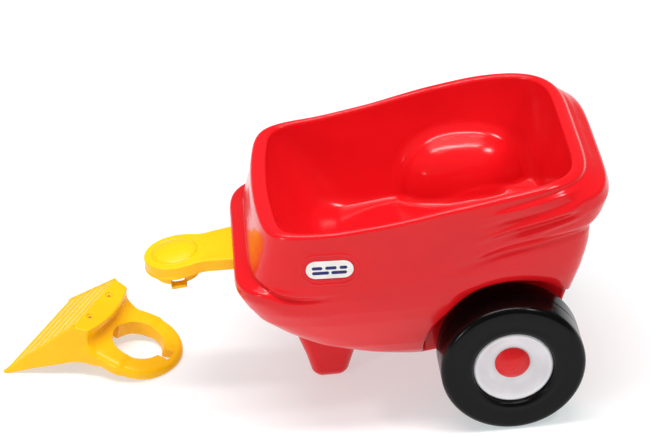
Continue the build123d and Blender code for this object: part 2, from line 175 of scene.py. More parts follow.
def settle(field, p, rounds=3, limit=2.0):
    """Points moved onto field = 0."""
    for _ in range(rounds):
        d, g = gradient(field, p)
        s = d / np.maximum((g * g).sum(1), 0.05)
        mv = -g * s[:, None]
        ln = np.linalg.norm(mv, axis=1)
        mv *= np.minimum(1, limit / np.maximum(ln, 1e-9))[:, None]
        p = p + mv
    return p


def even(field, p, quads, rounds=3):
    """Slides the points along the surface so that the quads are even."""
    e = np.concatenate([quads[:, [i, (i + 1) % 4]] for i in range(4)])
    for _ in range(rounds):
        s = np.zeros_like(p)
        n = np.zeros(len(p))
        for a, b in ((0, 1), (1, 0)):
            for k in range(3):
                s[:, k] += np.bincount(e[:, a], p[e[:, b], k], len(p))
            n += np.bincount(e[:, a], minlength=len(p))
        mv = s / np.maximum(n, 1)[:, None] - p
        _, g = gradient(field, p)
        g /= np.maximum(np.linalg.norm(g, axis=1), 1e-6)[:, None]
        mv -= g * (mv * g).sum(1)[:, None]
        p = settle(field, p + 0.6 * mv, 1)
    return p


def raw_mesh(name, p, quads):
    me = bpy.data.meshes.new(name)
    me.vertices.add(len(p))
    me.vertices.foreach_set("co", np.asarray(p, np.float32).ravel())
    me.loops.add(quads.size)
    me.loops.foreach_set("vertex_index", quads.astype(np.int32).ravel())
    me.polygons.add(len(quads))
    me.polygons.foreach_set("loop_start", np.arange(0, quads.size, quads.shape[1], dtype=np.int32))
    me.update(calc_edges=True)
    me.validate()
    return me


def place(me, normals=None):
    """Smooth shading, millimetres to metres, trailer frame to row frame."""
    me.polygons.foreach_set("use_smooth", np.ones(len(me.polygons), bool))
    co = np.empty(len(me.vertices) * 3, np.float32)
    me.vertices.foreach_get("co", co)
    co = (co.reshape(-1, 3) + SHIFT) / 1000.0
    me.vertices.foreach_set("co", co.astype(np.float32).ravel())
    me.update()
    if normals is not None:
        me.normals_split_custom_set_from_vertices([tuple(v) for v in normals])
    ob = bpy.data.objects.new(me.name, me)
    bpy.context.scene.collection.objects.link(ob)
    return ob


def cad_range(node, pad=6.0):
    """Corners of a CAD node's box in trailer-frame mm, with a margin."""
    a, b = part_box(node)
    return tuple(np.array(a) * 1000 - SHIFT - pad), tuple(np.array(b) * 1000 - SHIFT + pad)


def moulded(name, field, lo, hi, h, finer=None, rounds=3):
    """Object on field = 0. finer: list of (test, cuts) that picks faces to divide."""
    p, q = net(field, lo, hi, h)
    p = settle(field, p, 3, h)
    p = even(field, p, q, rounds)
    p = settle(field, p, 2, h)
    me = raw_mesh(name, p, q)
    if finer:
        for test, cuts in finer:
            bm = bmesh.new()
            bm.from_mesh(me)
            cen = np.array([f.calc_center_median() for f in bm.faces])
            pick = test(cen[:, 0], cen[:, 1], cen[:, 2])
            bm.faces.ensure_lookup_table()
            edges = set()
            for i in np.nonzero(pick)[0]:
                edges.update(bm.faces[i].edges)
            bmesh.ops.subdivide_edges(bm, edges=list(edges), cuts=cuts, use_grid_fill=True)
            bm.to_mesh(me)
            bm.free()
        co = np.empty(len(me.vertices) * 3, np.float32)
        me.vertices.foreach_get("co", co)
        p = settle(field, co.reshape(-1, 3).astype(float), 4, h)
        me.vertices.foreach_set("co", p.astype(np.float32).ravel())
    _, g = gradient(field, p, 0.2)
    g /= np.maximum(np.linalg.norm(g, axis=1), 1e-6)[:, None]
    return place(me, g)


# -------------------------------------------------------------------- tub ---
WHEEL_MID_Y, AXLE_Z, WELL_R, WELL_Y = 158.0, 105.0, 123.0, 106.0
RIM = curve([(-420, 341), (-350, 343.5), (-327, 344.5), (-245, 346), (-163, 356.5), (-81, 373), (0.6, 386.0),
             (60, 391.0), (110, 392.0), (140, 392.0), (240, 390)], 14)
# z, x front, x rear, half width front, middle, rear, front exponent, rear exponent, front bow
HULL = [
    (60.0, -110, 26, 70, 76, 72, 5.0, 5.0, 0),
    (76.0, -150, 40, 84, 90, 84, 5.0, 5.0, 0),
    (88.0, -205, 62, 102, 106, 100, 5.0, 5.5, 0),
    (105.0, -252, 70, 116, 122, 114, 5.0, 6.5, 0),
    (130.0, -302, 80, 131, 138, 128, 5.4, 8.0, 0),
    (160.0, -338, 88, 145, 153, 140, 5.6, 9.0, 0),
    (188.0, -366, 97, 156, 164, 149, 6.0, 9.5, 0),
    (212.0, -380, 105, 164, 171, 155, 6.0, 9.5, 0),
    (236.0, -388, 113, 169, 175, 160, 6.2, 9.5, 0),
    (250.0, -386.5, 117, 170, 176, 163, 6.6, 9.0, 0),
    (259.0, -372, 119.5, 168, 177, 164, 7.4, 9.0, 3),
    (264.0, -367, 121, 168, 177, 165, 8.0, 8.6, 5),
    (276.0, -364, 124, 168, 177, 167, 9.0, 8.2, 8),
    (292.0, -360, 126, 168, 178, 170, 9.5, 7.6, 10),
    (306.0, -357, 133, 168, 179, 176, 10.0, 6.6, 12),
    (326.0, -354, 150, 168, 181, 184, 10.0, 5.2, 13),
    (345.0, -350, 157, 168, 183, 187, 10.0, 5.0, 13),
    (362.0, -347, 152, 167, 184, 186, 10.0, 5.0, 13),
    (376.0, -344, 131, 166, 184, 180, 10.0, 5.2, 13),
    (392.0, -341, 117, 165, 184, 174, 10.0, 5.4, 13),
    (412.0, -338, 116, 164, 183, 173, 10.0, 5.4, 13),
]
BAY = [
    (186.0, -205, 78, 118, 124, 116, 6.0, 5.0, 0),
    (200.0, -238, 84, 132, 138, 126, 6.5, 7.0, 0),
    (214.0, -262, 87, 138, 146, 134, 7.0, 9.0, 0),
    (250.0, -286, 90, 146, 155, 142, 8.0, 11.0, 3),
    (290.0, -308, 94, 152, 163, 150, 10.0, 11.0, 7),
    (330.0, -326, 98, 155, 169, 157, 13.0, 9.0, 12),
    (360.0, -333, 101, 156, 171, 161, 14.0, 7.0, 14),
    (395.0, -336, 103, 156, 172, 163, 14.0, 6.0, 14),
    (425.0, -337, 104, 156, 172, 163, 14.0, 6.0, 14),
]


class Stack:
    def __init__(self, rows, sigma):
        self.f = [curve([(r[0], r[i]) for r in rows], sigma) for i in range(1, 9)]

    def raw(self, x, y, z):
        xf, xr, wf, wm, wr, ef, er, bow = [f(z) for f in self.f]
        xm, ax = (xf + xr) / 2, (xr - xf) / 2
        u = (x - xm) / ax
        front = step(-u)
        u = (x - bow * (np.abs(y) / 150) ** 2 * front - xm) / ax
        uc = np.clip(u, -1.3, 1.3)
        w = wm + uc * (wr - wf) / 2 + uc * uc * ((wr + wf) / 2 - wm)
        e = np.where(u < 0, ef, er)
        return (np.abs(u) ** e + np.abs(y / w) ** e) ** (1 / e) - 1

    def __call__(self, x, y, z, s=0.6):
        f = self.raw(x, y, z)
        gx = (self.raw(x + s, y, z) - f) / s
        gy = (self.raw(x, y + s, z) - f) / s
        gz = (self.raw(x, y, z + s) - f) / s
        return f / np.maximum(np.sqrt(gx * gx + gy * gy + gz * gz), 0.0022)


hull_stack = Stack(HULL, 2.4)
bay_stack = Stack(BAY, 8.0)
keel = level([(-300, 136), (-262, 116), (-217, 100), (-180, 88), (-141, 78), (-120, 79), (-105, 85), (-92, 87), (60, 88)], 5)
floor_z = curve([(-320, 232), (-220, 200), (-50, 214), (110, 227)], 5)
# lines on the side and round the back: (x, z)
line_a = level([(-60, 352), (-20, 361), (62, 375), (100, 378)], 12)
line_b = level([(-70, 308), (-40, 319), (0, 336), (65, 350), (110, 356)], 10)
line_c = level([(-20, 309), (15, 319), (70, 333), (110, 340)], 10)
groove_ab = level([(-60, 334), (0, 350), (65, 361.5), (110, 366)], 10)
groove_bc = level([(-30, 316), (15, 329), (70, 341), (110, 347)], 10)
groove_top = level([(-30, 366), (30, 376), (62, 380), (100, 381.5)], 12)
under = level([(-90, 268), (-62, 276), (-3, 293), (59, 303), (92, 306), (130, 303)], 12)
crease = level([(-352, 259), (-338, 253), (-322, 245), (-300, 241), (-275, 241), (-245, 245), (-215, 251)], 9)

TONGUE_X, TONGUE_Z, TILT = -472.6, 237.0, math.radians(4.7)


def tongue_frame(x, y, z):
    dx, dz = x - TONGUE_X, z - TONGUE_Z
    c, s = math.cos(TILT), math.sin(TILT)
    return dx * c + dz * s, y, -dx * s + dz * c


BADGE_X, BADGE_Z = -252.5, 291.0


def side_y(x, z):
    lo_, hi_ = np.array([100.0]), np.array([230.0])
    for _ in range(40):
        m_ = (lo_ + hi_) / 2
        inside = hull_stack.raw(np.array([float(x)]), m_, np.array([float(z)])) < 0
        lo_, hi_ = np.where(inside, m_, lo_), np.where(inside, hi_, m_)
    return float(lo_[0])


def badge_plane(side):
    y0 = side_y(BADGE_X, BADGE_Z)
    dx = (side_y(BADGE_X + 30, BADGE_Z) - side_y(BADGE_X - 30, BADGE_Z)) / 60
    dz = (side_y(BADGE_X, BADGE_Z + 15) - side_y(BADGE_X, BADGE_Z - 15)) / 30
    n = np.array([-dx, side, -dz * 1.0])
    n /= np.linalg.norm(n)
    a = np.array([-side, 0, 0.0])
    a -= n * (a @ n)
    a /= np.linalg.norm(a)
    return np.array([BADGE_X, side * y0, BADGE_Z]), a, np.cross(n, a), n


PLANES = {s: badge_plane(s) for s in (-1, 1)}


def pill2(a, b, w, h):
    """Distance to a pill of overall size w x h in its plane."""
    return np.hypot(np.maximum(np.abs(a) - (w - h) / 2, 0), b) - h / 2


def tub_outer(x, y, z):
    ay = np.sqrt(y * y + 4.0)
    d = hull_stack(x, y, z)
    side = step((ay - 60) / 60)
    # raised and sunk lines that run back along the flare
    ga = step((x + 45) / 70)
    d = d - 2.0 * ga * (0.3 + 0.7 * step((112 - x) / 34)) * bump(z - line_a(x), 4.2)
    d = d + 1.9 * step((x + 40) / 60) * bump(z - groove_top(x), 4.0)
    fade = step((112 - x) / 34) * side
    d = d + 2.2 * step((x + 55) / 60) * fade * bump(z - groove_ab(x), 4.4)
    d = d - 2.7 * step((x + 62) / 60) * fade * bump(z - line_b(x), 4.2)
    d = d + 2.0 * step((x + 20) / 45) * fade * bump(z - groove_bc(x), 3.8)
    d = d - 2.5 * step((x + 15) / 45) * fade * bump(z - line_c(x), 4.0)
    # tuck under the flare
    d = d + 4.4 * step((x + 105) / 110) * bump(z - under(x), 8.0)
    d = d - 1.6 * step((x + 60) / 90) * bump(z - under(x) - 17, 8.0) * fade
    # crease under the front band that fades along the sides, and the roll below it
    cf = step((-222 - x) / 105) * side
    d = d + 5.2 * cf * bump(z - crease(x), 4.6)
    d = d + 2.4 * step((-338 - x) / 20) * bump(z - 262, 3.2) * (1 - side)
    d = d - 2.0 * cf * bump(z - crease(x) + 26, 17.0)
    # badge seat with its raised outline
    m = (np.abs(x - BADGE_X) < 56) & (np.abs(z - BADGE_Z) < 38) & (ay > 140)
    if m.any():
        o, a, b, n = PLANES[1]
        px, py, pz = x[m] - o[0], ay[m] - o[1], z[m] - o[2]
        aa = px * a[0] + py * a[1] + pz * a[2]
        bb = px * b[0] + py * b[1] + pz * b[2]
        q = pill2(aa, bb, 82, 48)
        e = pill2(aa, bb, 69, 30)
        d[m] += 0.7 * (1 - step((e + 1.0) / 2.0)) - 0.75 * bump(q, 1.8)
    return d


def tub(x, y, z):
    ay = np.sqrt(y * y + 1.0)
    d = tub_outer(x, y, z)
    d = smax(d, keel(x) - z, 14.0)
    d = smax(d, z - RIM(x) - 0.35, 6.2)
    r = np.hypot(x, z - AXLE_Z)
    well = smax(r - WELL_R, WELL_Y - ay, 5.0)
    # hump over each wheel inside the load space
    dome = ((np.abs(x + 24) / 110) ** 2.4 + (np.maximum(178 - ay, 0) / 79) ** 2.4 + (np.maximum(z - 190, 0) / 115) ** 2.4) ** (1 / 2.4)
    dome = (dome - 1) * 84
    cover = smax(r - WELL_R - 4, WELL_Y - 3.5 - ay, 6.0)
    hump = smin(dome, cover, 8.0)
    bay = smax(bay_stack(x, y, z), floor_z(x) - z, 6.5)
    bay = -smin(-bay, hump, 12.0)
    # front foot
    k = np.clip((z - 6) / 144, 0, 1)
    x0 = np.interp(z, [6, 14, 45, 84, 150], [-284, -286, -292, -302, -318])
    x1 = np.interp(z, [6, 14, 45, 84, 150], [-231, -229, -220, -211, -195])
    w = np.interp(z, [6, 14, 45, 84, 150], [25, 27, 34, 44, 60])
    foot = smax(smax(np.abs(x - (x0 + x1) / 2) - (x1 - x0) / 2, np.abs(y) - w, 15.0), -z, 14.0)
    foot = smax(foot, z - 150, 4.0)
    d = smin(d, foot, 9.0)
    d = smax(d, -well, 4.0 + 19.0 * step((z - 188) / 40))
    d = smax(d, -bay, 5.5)
    # tongue socket and the screw recesses under it
    u, v, t = tongue_frame(x, y, z)
    sock = np.maximum(np.maximum(np.abs(v) - 46.4, np.abs(t + 10) - 10.3), np.abs(u - 93.5) - 35)
    d = smax(d, -sock, 1.6)
    for s in (-1, 1):
        hole = np.maximum(np.hypot(u - 102, v - 24 * s) - 6.5, t + 26)
        d = smax(d, -hole, 0.8)
    return d


def near_detail(x, y, z):
    return (np.abs(x - BADGE_X) < 50) & (np.abs(z - BADGE_Z) < 33) & (np.abs(y) > 140)


def rim_band(x, y, z):
    return z > RIM(x) - 13


# -------------------------------------------------------------- materials ---
def material(name):
    m = bpy.data.materials.new(name)
    m.use_nodes = True
    nt = m.node_tree
    b = nt.nodes["Principled BSDF"]
    return m, nt, b


def noise(nt, scale, detail=3.0, rough=0.5, coord="Object"):
    tc = nt.nodes.new("ShaderNodeTexCoord")
    n = nt.nodes.new("ShaderNodeTexNoise")
    n.inputs["Scale"].default_value = scale
    n.inputs["Detail"].default_value = detail
    n.inputs["Roughness"].default_value = rough
    nt.links.new(tc.outputs[coord], n.inputs["Vector"])
    return n


def ramp(nt, src, stops):
    r = nt.nodes.new("ShaderNodeValToRGB")
    els = r.color_ramp.elements
    while len(els) < len(stops):
        els.new(0.5)
    for e, (p, c) in zip(els, stops):
        e.position = p
        e.color = (*c, 1) if len(c) == 3 else c
    nt.links.new(src, r.inputs["Fac"])
    return r


def srgb(r, g, b):
    return tuple(((c / 255) / 12.92 if c / 255 <= 0.04045 else ((c / 255 + 0.055) / 1.055) ** 2.4) for c in (r, g, b))


def plastic(name, lo, hi, rough, grain_scale, grain, big_scale=7.0, spec=0.5, wave=0.0, coat=0.0):
    """Moulded plastic: slight colour drift, uneven gloss, fine skin and a slow waviness."""
    m, nt, b = material(name)
    n1 = noise(nt, big_scale, 4.0, 0.55)
    col = ramp(nt, n1.outputs["Fac"], [(0.32, lo), (0.68, hi)])
    nt.links.new(col.outputs["Color"], b.inputs["Base Color"])
    n2 = noise(nt, 34.0, 5.0, 0.6)
    rr = nt.nodes.new("ShaderNodeMapRange")
    rr.inputs["From Min"].default_value = 0.3
    rr.inputs["From Max"].default_value = 0.7
    rr.inputs["To Min"].default_value = rough[0]
    rr.inputs["To Max"].default_value = rough[1]
    nt.links.new(n2.outputs["Fac"], rr.inputs["Value"])
    nt.links.new(rr.outputs["Result"], b.inputs["Roughness"])
    n3 = noise(nt, grain_scale, 2.0, 0.5)
    bp = nt.nodes.new("ShaderNodeBump")
    bp.inputs["Strength"].default_value = 1.0
    bp.inputs["Distance"].default_value = grain
    nt.links.new(n3.outputs["Fac"], bp.inputs["Height"])
    if wave:
        n4 = noise(nt, 11.0, 1.0, 0.4)
        bw = nt.nodes.new("ShaderNodeBump")
        bw.inputs["Strength"].default_value = 1.0
        bw.inputs["Distance"].default_value = wave
        nt.links.new(n4.outputs["Fac"], bw.inputs["Height"])
        nt.links.new(bw.outputs["Normal"], bp.inputs["Normal"])
    nt.links.new(bp.outputs["Normal"], b.inputs["Normal"])
    b.inputs["Specular IOR Level"].default_value = spec
    b.inputs["Coat Weight"].default_value = coat
    return m


MAT_RED = plastic("red_moulded_plastic", (0.68, 0.0065, 0.0105), (0.75, 0.0085, 0.0135), (0.12, 0.19), 900, 0.00002, 6.0, 0.29, 0.0003)
MAT_YELLOW = plastic("yellow_moulded_plastic", (0.94, 0.50, 0.002), (0.98, 0.545, 0.003), (0.24, 0.34), 1300, 0.00003, 14.0, 0.25)
MAT_BLACK = plastic("black_wheel_plastic", (0.0012, 0.001, 0.0011), (0.0028, 0.0024, 0.0026), (0.17, 0.26), 1000, 0.00003, 16.0, 0.16, 0.0003)
MAT_WHITE = plastic("white_hub_plastic", srgb(222, 222, 226), srgb(234, 234, 237), (0.28, 0.4), 1500, 0.00003, 20.0, 0.3)
MAT_CAP = plastic("red_cap_plastic", (0.70, 0.0095, 0.0125), (0.78, 0.012, 0.015), (0.2, 0.3), 1500, 0.00003, 20.0, 0.3)
MAT_BADGE = plastic("badge_plastic", srgb(232, 229, 224), srgb(242, 240, 236), (0.24, 0.34), 2200, 0.00002, 30.0, 0.3)
MAT_PRINT = plastic("badge_print", srgb(30, 34, 98), srgb(38, 44, 116), (0.3, 0.4), 2200, 0.00002, 40.0, 0.3)
MAT_NATURAL = plastic("natural_plastic", srgb(222, 216, 202), srgb(232, 227, 214), (0.4, 0.5), 2000, 0.00003, 30.0, 0.4)


def steel(name):
    m, nt, b = material(name)
    n1 = noise(nt, 60.0, 5.0, 0.6)
    col = ramp(nt, n1.outputs["Fac"], [(0.3, (0.46, 0.46, 0.47)), (0.7, (0.62, 0.62, 0.63))])
    nt.links.new(col.outputs["Color"], b.inputs["Base Color"])
    b.inputs["Metallic"].default_value = 1.0
    n2 = noise(nt, 240.0, 4.0, 0.6)
    rr = nt.nodes.new("ShaderNodeMapRange")
    rr.inputs["To Min"].default_value = 0.22
    rr.inputs["To Max"].default_value = 0.45
    nt.links.new(n2.outputs["Fac"], rr.inputs["Value"])
    nt.links.new(rr.outputs["Result"], b.inputs["Roughness"])
    bp = nt.nodes.new("ShaderNodeBump")
    bp.inputs["Distance"].default_value = 0.00003
    nt.links.new(n2.outputs["Fac"], bp.inputs["Height"])
    nt.links.new(bp.outputs["Normal"], b.inputs["Normal"])
    return m


MAT_STEEL = steel("zinc_plated_steel")


def dress(ob, mat, body=None, nodes=()):
    ob.data.materials.clear()
    ob.data.materials.append(mat)
    if body:
        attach(ob, body)
    if nodes:
        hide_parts(*nodes)
    return ob


# ------------------------------------------------------------------ build ---
tub_ob = moulded("tub_shell", tub, (-400, -200, -2), (170, 200, 400), 2.6 * FINE, [(near_detail, 3), (rim_band, 1)])
dress(tub_ob, MAT_RED, "trailer", ["tub_body"])


def turned(name, prof, side, seg=192, centre=(0.0, WHEEL_MID_Y, AXLE_Z)):
    """Closed outline of (radius, outward distance) turned about the axle."""
    pts = np.array(prof, float)
    n = len(pts)
    ang = 2 * np.pi * np.arange(seg) / seg
    v = np.empty((seg, n, 3))
    v[:, :, 0] = centre[0] + pts[None, :, 0] * np.cos(ang)[:, None]
    v[:, :, 2] = centre[2] + pts[None, :, 0] * np.sin(ang)[:, None]
    v[:, :, 1] = side * (centre[1] + pts[None, :, 1])
    i, j = np.meshgrid(np.arange(seg), np.arange(n), indexing="ij")
    i2, j2 = (i + 1) % seg, (j + 1) % n
    q = np.stack([i * n + j, i * n + j2, i2 * n + j2, i2 * n + j], -1).reshape(-1, 4)
    if side < 0:
        q = q[:, ::-1]
    return v.reshape(-1, 3), q


def rounded(pts, radii, seg=6):
    """Closed polyline with each corner rounded."""
    out = []
    n = len(pts)
    for i in range(n):
        p0, p1, p2 = (np.array(pts[(i + k) % n], float) for k in (-1, 0, 1))
        r = radii[i] if i < len(radii) else 0
        a, b = p0 - p1, p2 - p1
        la, lb = np.linalg.norm(a), np.linalg.norm(b)
        a, b = a / la, b / lb
        half = math.acos(max(-1, min(1, float(a @ b)))) / 2
        if r <= 0 or half > math.pi / 2 - 0.02:
            out.append(p1)
            continue
        t = min(r / math.tan(half), 0.49 * la, 0.49 * lb)
        r = t * math.tan(half)
        c = p1 + (a + b) / np.linalg.norm(a + b) * (r / math.sin(half))
        s, e = p1 + a * t - c, p1 + b * t - c
        a0 = math.atan2(s[1], s[0])
        da = (math.atan2(e[1], e[0]) - a0 + math.pi) % (2 * math.pi) - math.pi
        k = max(2, int(seg * abs(da) / 1.2) + 1)
        for j in range(k + 1):
            t_ = a0 + da * j / k
            out.append(c + r * np.array([math.cos(t_), math.sin(t_)]))
    return out


def divide(pts, longest):
    """Adds points on long runs so that the faces stay even."""
    out = []
    n = len(pts)
    for i in range(n):
        a, b = np.array(pts[i]), np.array(pts[(i + 1) % n])
        k = max(1, int(math.ceil(np.linalg.norm(b - a) / longest)))
        for j in range(k):
            out.append(a + (b - a) * j / k)
    return out


def lathe(name, pts, radii, side, longest=4.0, seg=192):
    prof = divide(rounded(pts, radii), longest)
    v, q = turned(name, prof, side, seg)
    # drop the copies of points on the axis
    me = raw_mesh(name, v, q)
    bm = bmesh.new()
    bm.from_mesh(me)
    bmesh.ops.remove_doubles(bm, verts=bm.verts, dist=0.0005)
    bmesh.ops.dissolve_degenerate(bm, edges=bm.edges, dist=0.0003)
    bmesh.ops.recalc_face_normals(bm, faces=bm.faces)
    bm.to_mesh(me)
    bm.free()
    return place(me)


WHEEL = [(4.85, -46.9), (14, -46.9), (14, -31), (50, -31), (57, -36), (64, -38.6), (83, -39), (105, -39), (105, -1.6), (104.4, 0), (105, 1.6), (105, 39),
         (84, 39), (73, 38.2), (66, 39), (60.5, 36.8), (58, 31), (58, 10), (4.85, 10)]
WHEEL_R_ = [0.4, 1.5, 2.5, 4, 4, 5, 0, 21.5, 0.6, 0.5, 0.6, 21.5, 0, 6, 3.5, 2.5, 1.5, 1.5, 0.4]
HUB = [(19.3, 10), (19.3, 18), (27, 18), (38, 20.2), (47, 26), (51.5, 31), (54.5, 33.4), (57.6, 31), (57.6, 28.5),
       (54.5, 28.3), (49.5, 23.6), (38.5, 17.2), (29, 15.2), (24, 15), (24, 10)]
HUB_R_ = [0.3, 0.8, 3, 10, 8, 3, 2.4, 1.0, 0.5, 0.5, 3, 8, 3, 1, 0.5]
rise, rad = 9.2, 25.0
ro = (rad ** 2 + rise ** 2) / (2 * rise)
cc = 29.6 - ro
CAP = [(0.0, 29.6)] + [(x_, cc + math.sqrt(ro * ro - x_ * x_)) for x_ in (3, 6, 9, 12, 15, 18, 20.5, 22.8)] + \
      [(25.4, 20.4), (25.5, 18), (19.1, 18), (19.1, 12.6), (16.9, 12.6)] + \
      [(x_, cc + math.sqrt((ro - 2.6) ** 2 - x_ * x_)) for x_ in (16.9, 12, 8, 4, 0.0)]
for nm, s in (("left", 1), ("right", -1)):
    w = lathe(nm + "_tyre", WHEEL, WHEEL_R_, s)
    dress(w, MAT_BLACK, nm + "_wheel_set", [nm + "_wheel"])
    h = lathe(nm + "_hub", HUB, HUB_R_, s, 3.0)
    dress(h, MAT_WHITE, nm + "_wheel_set", [nm + "_hub_disc"])
    c = lathe(nm + "_cap", CAP, [0] * 9 + [1.6, 0.8, 0.2, 0.4, 0.4], s, 2.5, 128)
    dress(c, MAT_CAP, nm + "_wheel_set", [nm + "_hub_cap"])


# ----------------------------------------------------------------- tongue ---
arm_w = level([(0, 37.5), (18, 38.6), (30, 38.2), (44, 39.2), (60, 42.2), (86, 46), (128, 46)], 5)


def tongue(x, y, z):
    u, v, t = tongue_frame(x, y, z)
    v = np.sqrt(v * v + 0.01)
    rad_ = np.hypot(u, v)
    arm = smax(smax(v - arm_w(u), u - 128, 0.6), 4 - u, 2.0)
    plan = smin(rad_ - 46.0, arm, 14.0)
    slab = smax(plan, np.abs(t + 10) - 10, 2.6)
    # the round end has a small lip at its bottom edge
    lip = smax(rad_ - 47.6 + 3.2 * step((u + 4) / 26), np.abs(t + 18.4) - 1.6, 1.2)
    d = smin(slab, lip, 2.0)
    pocket = smax(plan + 3.6, np.maximum(t + 3.6, -200.0), 2.0)
    d = smax(d, -pocket, 1.0)
    # ribs and screw bosses under the arm
    for yy in (0.0, 20.0):
        rib = smax(np.maximum(np.abs(v - yy) - 1.4, np.abs(u - 84) - 42), np.abs(t + 9.5) - 8.2, 0.5)
        d = smin(d, rib, 1.5)
    boss = smax(np.hypot(u - 102, v - 24) - 6.5, np.abs(t + 11) - 9.0, 0.8)
    d = smin(d, boss, 1.5)
    # collar, windows and lugs
    collar = smax(np.abs(rad_ - 32.2) - 1.8, np.abs(t + 19.5) - 16.5, 0.8)
    d = smin(d, collar, 1.5)
    lug = smax(smax(np.abs(u) - 11.5, np.abs(v - 36.9) - 5.1, 1.0), np.abs(t + 36) - 3.0, 1.0)
    web = smax(smax(np.abs(u) - 11.5, np.abs(v - 33.4) - 1.6, 0.8), np.abs(t + 34.5) - 3.0, 0.8)
    d = smin(d, smin(lug, web, 0.6), 1.2)
    window = np.maximum(np.maximum(np.abs(u) - 9.0, np.abs(v - 34) - 8), np.abs(t + 28.5) - 4.0)
    d = smax(d, -window, 0.7)
    # button on top, a shallow groove round it
    rs = (DOME_R ** 2 + DOME_H ** 2) / (2 * DOME_H)
    flat = (rad_ / DOME_R)
    ball = t - DOME_H * np.maximum(1 - flat ** 2.0, 0) ** 0.7
    cap_ = smax(rad_ - DOME_R, np.where(flat < 1, ball * 0.9, t - 0.0), 1.6)
    cap_ = smax(cap_, -t - 3.0, 0.5)
    d = d + 0.5 * bump(rad_ - DOME_R - 1.4, 1.6) * step((t + 2.5) / 2.0)
    d = smin(d, cap_, 0.8)
    for s in (-1, 1):
        hole = np.maximum(np.hypot(u - 102, v - 24) - 2.3, t + 6)
        d = smax(d, -hole, 0.3)
        break
    return d


DOME_R, DOME_H = 34.4, 8.5
tongue_ob = moulded("tongue_arm", tongue, (-524, -54, 190), (-340, 54, 262), 1.5 * FINE, None, 2)
dress(tongue_ob, MAT_YELLOW, "trailer", ["tow_tongue"])

# ---------------------------------------------------------------- bracket ---
BR_POS, BR_YAW, BR_TILT = (-548.6, 81.3, 30.4), math.radians(62.5), math.radians(16.7)
BT = np.array([math.cos(BR_YAW), math.sin(BR_YAW), 0])
BA0 = np.array([-math.sin(BR_YAW), math.cos(BR_YAW), 0])
BA = BA0 * math.cos(BR_TILT) + np.array([0, 0, 1]) * math.sin(BR_TILT)
BK = np.array([0, 0, 1]) * math.cos(BR_TILT) - BA0 * math.sin(BR_TILT)


def plane3(p1, p2, p3, out):
    p1, p2, p3 = (np.array(p, float) for p in (p1, p2, p3))
    n = np.cross(p2 - p1, p3 - p1)
    n /= np.linalg.norm(n)
    if n @ np.array(out, float) < 0:
        n = -n
    return p1, n


SIDE_P, SIDE_N = plane3((49, 69, -20), (163, 106, -85), (83.4, 71, 34), (0, 1, 0))
RAMP_A, RAMP_B = np.array([83.4, 34.0]), np.array([168.5, -80.5])
RAMP_D = (RAMP_B - RAMP_A) / np.linalg.norm(RAMP_B - RAMP_A)
RAMP_N = np.array([-RAMP_D[1], RAMP_D[0]])
throat = curve([(-26, 36), (-2, 42), (4, 48), (12, 55.5), (22, 59.5), (34, 61), (48, 62)], 3.0)
belly = level([(30, -22), (49, -22), (76, -31), (90, -40), (111, -51), (129, -61), (152, -75), (168, -86)], 5)


